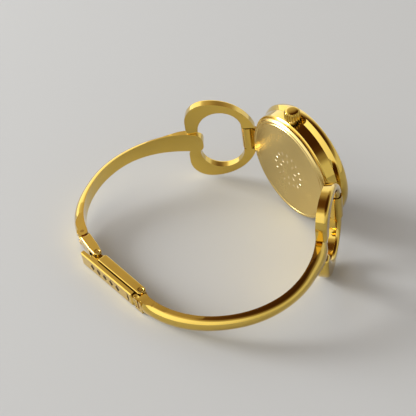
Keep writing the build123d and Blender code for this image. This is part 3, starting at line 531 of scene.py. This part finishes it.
# Crown
# A small fluted knob of the case's metal with a rounded top. It is screwed on the winding stem, and
# is hollow underneath for the tube and its gasket.
stem_high = 1.29                 # the winding stem's axis, in front of the case's rim
crown_r = 1.65
crown_low = 13.1                 # its inner face and its end, from the head's axis
crown_end = 15.0
crown_dome = 0.8
tube_room_r = 1.1
tube_room_end = 14.0
stem_hole_r = 0.42
stem_hole_end = 14.3
crown_place = head_place @ Matrix.Translation((0, 0, stem_high)) @ Matrix.Rotation(
    radians(90), 4, "Y")
crown_section = [(0, crown_end, 0), (crown_r, crown_end, crown_dome), (crown_r, crown_low, 0.06),
                 (tube_room_r, crown_low, 0), (tube_room_r, tube_room_end, 0),
                 (stem_hole_r, tube_room_end, 0), (stem_hole_r, stem_hole_end, 0),
                 (0, stem_hole_end, 0)]
fitted("fluted_crown",
       turned_mesh(crown_section, False, crown_place, polished_gold, sides=216, flutes=18.0,
                   flute_radius=0.24, rim=crown_r, flutes_end=crown_end),
       "crown", "crown")

# Lugs and ring links
# Each lug is a yellow metal barrel soldered to the case's flank. A ring link turns on it: two horns
# round a large hole, flat inside and rounded outside, with a gold-plated pin for the arm.
both_sides = (("left", 1), ("right", -1))
lug_back = 0.24                  # the ring link's hinge, behind the rim of the case's back
lug_out = 2.14                   # and out from the case's flank
ring_turn = radians(52.1)        # the way the ring link's outer face looks, from X
outer_edge_z = 0.95              # the edges of the outer face lie above this in the link's frame
ring_rounding = 0.7


def skin_of(node):
    """A closed copy of a node's loose triangles, its flat faces joined."""
    shell = bmesh.new()
    shell.from_mesh(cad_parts[node].data)
    bmesh.ops.remove_doubles(shell, verts=shell.verts, dist=2e-7)
    bmesh.ops.dissolve_limit(shell, angle_limit=radians(0.3), verts=shell.verts,
                             edges=shell.edges)
    return shell


def mesh_of(shell, name):
    """A shell's plain mesh; the shell is used up."""
    mesh = bpy.data.meshes.new(name)
    shell.to_mesh(mesh)
    shell.free()
    return mesh


def ring_place(side):
    """The ring link's own frame: X from the lug to the arm, Y along the loop's axis, Z outward."""
    return loop_place @ Matrix((
        (-sin(ring_turn), 0, cos(ring_turn), head_x - lug_back),
        (side * cos(ring_turn), 0, side * sin(ring_turn), side * (rim_r + lug_out)),
        (0, 1, 0, 0), (0, 0, 0, 1)))


def rounded_edges(piece, place, share_of, width):
    """Rounds each sharp edge by its own share of a width in millimetres, told by its two ends."""
    to_place = place.inverted()
    shell = bmesh.new()
    shell.from_mesh(piece.data)
    weight = shell.edges.layers.float.new("bevel_weight_edge")
    for edge in shell.edges:
        if len(edge.link_faces) == 2 and edge.calc_face_angle() > edge_turn:
            edge[weight] = share_of(*(to_place @ vert.co for vert in edge.verts))
    shell.to_mesh(piece.data)
    shell.free()
    bevel = piece.modifiers["softened edges"]
    bevel.limit_method = "WEIGHT"
    bevel.width = width / 1000
    bevel.segments = 4


def ring_share(start, end):
    """How much an edge of a ring link is rounded: most round its outer face."""
    if min(start.z, end.z) > outer_edge_z:
        return 1.0
    return 0.15


for side, y_side in both_sides:
    fitted(f"lug_{side}_barrel", mesh_of(skin_of(f"lug_{side}"), "barrel"), "case",
           f"lug_{side}", polished_gold, edge=0.1)
    link = fitted(f"ring_{side}_link", mesh_of(skin_of(f"ring_{side}"), "link"), f"ring_{side}",
                  f"ring_{side}", polished_gold, edge=0.2)
    rounded_edges(link, ring_place(y_side), ring_share, ring_rounding)

# The pins are painted dark brown, far darker than the gold round them: painted shade for the dark ring
# round each pin's end.
coat(finish_of("pin gold painted dark", (0.42, 0.25, 0.05), 0.2, hairlines=0.12),
     "arm_pin_left", "arm_pin_right", "link_pin", "catch_bar", "tongue_pin", "cover_pin")

# Arms
# Two bent bars of yellow metal, with a flat inside and a rounded outside. Each turns on the pin of a
# ring link. It is full and high there, thin at mid length and square again at the clasp.
arm_x = 3.0478                   # the centre of the circle of the left arm's inner face
arm_y = 8.1309
arm_r = 18.17
clasp_rise = 0.25                # how much further out that face is at the clasp
arm_ring_t = 2.3                 # the arm's thickness at the ring, at mid length and at the clasp
arm_t = 1.65
arm_clasp_t = 2.2
arm_ring_h = 4.7                 # the arm's height along the loop's axis, in the same places
arm_h = 3.2
arm_clasp_h = 3.0
ring_flat = 0.6                  # the share of the thickness that has flat sides: at the ring,
mid_flat = 0.15                  # at mid length, where the arm fills out, and at the clasp
fill_flat = 0.45
clasp_flat = 0.85
band_start = 46                  # the ways from the centre, in degrees: the start of the band,
slim_from = 66                   # where it has its mid thickness
low_from = 92                    # and its mid height,
fill_from = 118                  # and where it begins to fill out for the clasp
squarer_from = 150
square_over = 8                  # it gets square in the last 8 degrees
band_ends = {"left": 157, "right": 173.5}    # the band's end, short of each arm's clasp end
ring_step = 1.5                  # the band has a row of points about every 1.5 degrees
seam = 0.4                       # and leaves this gap, in degrees, to bridge to the CAD's ends
outer_steps = 9                  # steps of the rounded side, from its middle to its edge
end_reach = 0.01                 # metres; the two cuts of an arm are further apart than this
arm_tip_x = 9.6                  # the arm's tip in the ring link's frame, with its round corners
arm_tip_round = 2.15
arm_tip_half = 2.5


def eased(value, start, end):
    """0 before start, 1 after end, with a smooth rise between."""
    u = min(max((value - start) / (end - start), 0), 1)
    return u * u * (3 - 2 * u)


def blended(start, *steps):
    """A value that changes along an arm: each step gives the next value and its first and last way."""
    rises = [(value - before, first, last) for before, (value, first, last)
             in zip((start, *(step[0] for step in steps)), steps)]
    return lambda turn: start + sum(rise * eased(turn, first, last) for rise, first, last in rises)


def arm_section(side, turn, band_end):
    """The corners of an arm's section at a way from its centre: flat inside, rounded outside."""
    rise = blended(0, (clasp_rise, fill_from, band_end))
    thick = blended(arm_ring_t, (arm_t, band_start, slim_from), (arm_clasp_t, fill_from, band_end))
    high = blended(arm_ring_h, (arm_h, band_start, low_from), (arm_clasp_h, fill_from, band_end))
    flat_share = blended(ring_flat, (mid_flat, band_start, slim_from),
                         (fill_flat, fill_from, squarer_from),
                         (clasp_flat, band_end - square_over, band_end))
    depth, half = thick(turn), high(turn) / 2
    rounded = depth - depth * flat_share(turn)
    bow = (half * half + rounded * rounded) / (2 * rounded)
    reach = asin(half / bow)
    if rounded > half:
        reach = pi - reach
    outer = [reach * k / outer_steps for k in range(-outer_steps, outer_steps + 1)]
    round_side = [(depth - bow + bow * cos(a), bow * sin(a)) for a in outer]
    way = Vector((cos(radians(turn)), sin(radians(turn)) * side, 0))
    middle = Vector((arm_x, arm_y * side, 0)) + way * (arm_r + rise(turn))
    return [loop_place @ (middle + way * out + Vector((0, 0, z)))
            for out, z in [(0, half), (0, -half), *round_side]]


def arm_mesh(node, side, band_end):
    """An arm: the CAD's ends, joined by a band whose section changes evenly."""
    arm = bmesh.new()
    for turn, kept in ((band_start, -1), (band_end, 1)):
        end = skin_of(node)
        across = Vector((-sin(radians(turn)), cos(radians(turn)) * side, 0)) * kept
        bmesh.ops.bisect_plane(end, geom=end.verts[:] + end.edges[:] + end.faces[:], dist=1e-7,
                               clear_inner=True, plane_no=lying_turn @ across,
                               plane_co=loop_place @ Vector((arm_x, arm_y * side, 0)))
        arm.from_mesh(mesh_of(end, "end"))
    cuts = [edge for edge in arm.edges if edge.is_boundary]
    count = round((band_end - band_start) / ring_step)
    rows = []
    for k in range(count + 1):
        turn = band_start + seam + (band_end - band_start - 2 * seam) * k / count
        rows.append([arm.verts.new(point) for point in arm_section(side, turn, band_end)])
    for near, far in zip(rows, rows[1:]):
        for k in range(len(near)):
            arm.faces.new((near[k], near[k - 1], far[k - 1], far[k]))
    rims = [[arm.edges.get((row[k], row[k - 1])) for k in range(len(row))]
            for row in (rows[0], rows[-1])]
    for rim in rims:
        place = rim[0].verts[0].co
        cut = [edge for edge in cuts if (edge.verts[0].co - place).length < end_reach]
        bmesh.ops.bridge_loops(arm, edges=rim + cut)
    bmesh.ops.recalc_face_normals(arm, faces=arm.faces)
    return mesh_of(arm, "arm")


def tip_outline(tip_x, round_r, half):
    """A long prism along X whose near end has two round corners."""
    far = 70.0                   # past the end of the longest piece
    corner = [(tip_x + round_r - round_r * sin(a), half - round_r + round_r * cos(a))
              for a in (radians(9 * k) for k in range(11))]
    outline = [(far, half), *corner, *((x, -y) for x, y in reversed(corner)), (far, -half)]
    prism = bmesh.new()
    base = prism.faces.new([prism.verts.new((x, y, -far)) for x, y in outline])
    pushed = bmesh.ops.extrude_face_region(prism, geom=[base])["geom"]
    bmesh.ops.translate(prism, vec=(0, 0, 2 * far),
                        verts=[item for item in pushed if isinstance(item, bmesh.types.BMVert)])
    bmesh.ops.recalc_face_normals(prism, faces=prism.faces)
    return mesh_of(prism, "tip outline")


for side, y_side in both_sides:
    outline = tip_outline(arm_tip_x, arm_tip_round, arm_tip_half)
    outline.transform(ring_place(y_side))
    bar = combined(arm_mesh(f"arm_{side}", y_side, band_ends[side]), outline, "INTERSECT")
    fitted(f"arm_{side}_bar", bar, f"arm_{side}", f"arm_{side}", polished_gold,
           edge=0.15)

# Clasp
# A fold-over clasp in yellow metal, on riveted pins: a short link with a catch bar on the left arm,
# a hooked tongue on the right arm, and a bevelled cover that folds over both.
clasp_origin = Vector((-15.5, -7.45, 0))    # the tongue's pin
across_clasp = Vector((-cos(clasp_lean), -sin(clasp_lean), 0))
tongue_place = loop_place @ Matrix.Translation(clasp_origin) @ Matrix(
    (-clasp_way, -across_clasp, Vector((0, 0, 1)))).transposed().to_4x4()
to_tongue = tongue_place.inverted()
tongue_round = 0.85
tongue_mesh = mesh_of(skin_of("clasp_tongue"), "tongue")
tongue_points = [to_tongue @ vert.co for vert in tongue_mesh.vertices]
tongue_end = min(point.x for point in tongue_points)
tongue_low = min(point.y for point in tongue_points)
tongue_high = max(point.y for point in tongue_points)
outline = tip_outline(tongue_end, tongue_round, (tongue_high - tongue_low) / 2)
outline.transform(tongue_place @ Matrix.Translation((0, (tongue_low + tongue_high) / 2, 0)))
clasp_rounding = 1.1
step_x = (-12.5, -12)            # the tongue's step down to its lip is between these
step_y = 1                       # and its edge on the inside is beyond this
rim_z = 1.4                      # the edges of the two flat sides are beyond this


def clasp_share(start, end):
    """How much an edge of the clasp is rounded: most at the tongue's step, less on the sides."""
    if step_x[0] < max(start.x, end.x) < step_x[1] and min(start.y, end.y) > step_y:
        return 1.0
    if min(abs(start.z), abs(end.z)) > rim_z and start.z * end.z > 0:
        return 0.2
    return 0.04


for node, body, mesh in (("clasp_link", "link", mesh_of(skin_of("clasp_link"), "link")),
                         ("clasp_tongue", "tongue", combined(tongue_mesh, outline, "INTERSECT"))):
    piece = fitted(node + "_piece", mesh, body, node, polished_gold, edge=0.1)
    rounded_edges(piece, tongue_place, clasp_share, clasp_rounding)
    piece.modifiers["softened edges"].use_clamp_overlap = False

cover_out = 2.2                  # the cover's outer face, from the tongue's pin
mark_start = 4.7                 # the first of five lozenges along it, and their pitch
mark_pitch = 1.95
slot_at = 1.5                    # the slot beside its hinge
cover_face = loop_place @ Matrix.Translation(
    clasp_origin + across_clasp * (cover_out + cut_proud)) @ Matrix(
    (clasp_way, Vector((0, 0, 1)), -across_clasp)).transposed().to_4x4()
# The walls of the lettering and of the slot are painted near black brown: painted shade in these
# recesses.
shade_painted_cut = finish_of("cut walls with painted shade", (0.1, 0.065, 0.03), 0.35, tone=0.2, hairlines=0.3)
cover_mesh = mesh_of(skin_of("clasp_cover"), "cover")
cover_mesh.materials.clear()
cover_mesh.materials.append(polished_gold)
marks = [(mark_start + mark_pitch * k, 0) for k in range(5)]
cover_mesh = engraved(cover_mesh, marks, cover_face, shade_painted_cut, length=1.5, width=2.0, depth=0.2)
cover_mesh = engraved(cover_mesh, [(slot_at, 0)], cover_face, shade_painted_cut, length=0.7, width=2.9,
                      depth=0.3)
fitted("clasp_cover_piece", cover_mesh, "cover", "clasp_cover")

# Table, light and camera
# A pale painted table with a large window on the left, in a pale room whose ceiling is dark above
# the head. The metal mirrors that room; the camera itself sees a plain pale backdrop.
bpy.context.scene.view_settings.view_transform = "Standard"
table_reach = 3
table = bpy.data.meshes.new("table")
table.from_pydata([(-table_reach, -table_reach, 0), (table_reach, -table_reach, 0),
                   (table_reach, table_reach, 0), (-table_reach, table_reach, 0)],
                  [], [(0, 1, 2, 3)])
table_top = bpy.data.objects.new("table", table)
bpy.context.scene.collection.objects.link(table_top)
paint = bpy.data.materials.new("table paint")
paint.use_nodes = True
paint_shader = paint.node_tree.nodes["Principled BSDF"]
paint_shader.inputs["Base Color"].default_value = (0.56, 0.575, 0.58, 1)
paint_shader.inputs["Roughness"].default_value = 0.7
paint_shader.inputs["Specular IOR Level"].default_value = 0.15
table.materials.append(paint)

# The camera stands where the photograph's outlines put it
camera_turn = radians(-119.727)
camera_rise = radians(45.099)
camera_roll = radians(-9.243)
camera_away = 221.59
looked_at = Vector((7.404, 2.460, 0))
backward = Vector((cos(camera_rise) * cos(camera_turn), cos(camera_rise) * sin(camera_turn),
                   sin(camera_rise)))
level = Vector((0, 0, 1)).cross(backward).normalized()
upright = backward.cross(level)
rightward = cos(camera_roll) * level + sin(camera_roll) * upright
upward = cos(camera_roll) * upright - sin(camera_roll) * level
lens = bpy.data.cameras.new("camera")
lens.sensor_width = 36
lens.lens = 95.19
lens.clip_start = 0.01
camera = bpy.data.objects.new("camera", lens)
bpy.context.scene.collection.objects.link(camera)
view = Matrix((lying_turn @ rightward, lying_turn @ upward, lying_turn @ backward))
camera.matrix_world = Matrix.Translation(
    loop_place @ (looked_at + backward * camera_away)) @ view.transposed().to_4x4()
bpy.context.scene.camera = camera

window_way = lying_turn @ Vector((-0.55, 0.75, 0.36)).normalized()
dark_way = lying_turn @ Vector((0.4, -0.1, 0.91)).normalized()
world = bpy.data.worlds.new("room")
bpy.context.scene.world = world
world.use_nodes = True
room = world.node_tree
new, join = room.nodes.new, room.links.new
looking = new("ShaderNodeTexCoord")


def room_side(way, *tones):
    """A colour over the cosine of the angle from one way, each tone given as cosine and colour."""
    facing, spread, ramp = (new("ShaderNode" + kind) for kind in (
        "VectorMath", "MapRange", "ValToRGB"))
    facing.operation = "DOT_PRODUCT"
    facing.inputs[1].default_value = way
    join(looking.outputs["Generated"], facing.inputs[0])
    spread.inputs["From Min"].default_value = -1
    join(facing.outputs["Value"], spread.inputs["Value"])
    join(spread.outputs[0], ramp.inputs[0])
    stops = ramp.color_ramp
    stops.interpolation = "EASE"
    for cosine, colour in tones[1:-1]:
        stops.elements.new((cosine + 1) / 2).color = (*colour, 1)
    for element, (cosine, colour) in ((stops.elements[0], tones[0]),
                                      (stops.elements[-1], tones[-1])):
        element.position = (cosine + 1) / 2
        element.color = (*colour, 1)
    return ramp.outputs[0]


walls = room_side(window_way, (-0.7, (0.45, 0.45, 0.44)), (0.2, (0.75, 0.75, 0.75)),
                  (0.9, (1.0, 1.0, 1.0)))
gloom = room_side(dark_way, (0.5, (1, 1, 1)), (0.68, (0.42, 0.35, 0.26)),
                  (0.85, (0.09, 0.042, 0.018)), (0.95, (0.05, 0.02, 0.008)))
dimmed = new("ShaderNodeMix")
dimmed.data_type = "RGBA"
dimmed.blend_type = "MULTIPLY"
dimmed.inputs["Factor"].default_value = 1
colours = [socket for socket in dimmed.inputs if socket.type == "RGBA"]
join(walls, colours[0])
join(gloom, colours[1])
mirrored = room.nodes["Background"]
mirrored.inputs["Strength"].default_value = 1.75
join(next(socket for socket in dimmed.outputs if socket.type == "RGBA"), mirrored.inputs["Color"])
plain = new("ShaderNodeBackground")
plain.inputs["Color"].default_value = (0.58, 0.585, 0.57, 1)
seen, chosen = new("ShaderNodeLightPath"), new("ShaderNodeMixShader")
join(seen.outputs["Is Camera Ray"], chosen.inputs[0])
join(mirrored.outputs[0], chosen.inputs[1])
join(plain.outputs[0], chosen.inputs[2])
join(chosen.outputs[0], room.nodes["World Output"].inputs[0])

window_away = 0.8
window_light = bpy.data.lights.new("window", "AREA")
window_light.size = 0.34
window_light.energy = 9.5
window = bpy.data.objects.new("window", window_light)
bpy.context.scene.collection.objects.link(window)
window.matrix_world = Matrix.Translation(
    window_way * window_away) @ window_way.to_track_quat("Z", "Y").to_matrix().to_4x4()
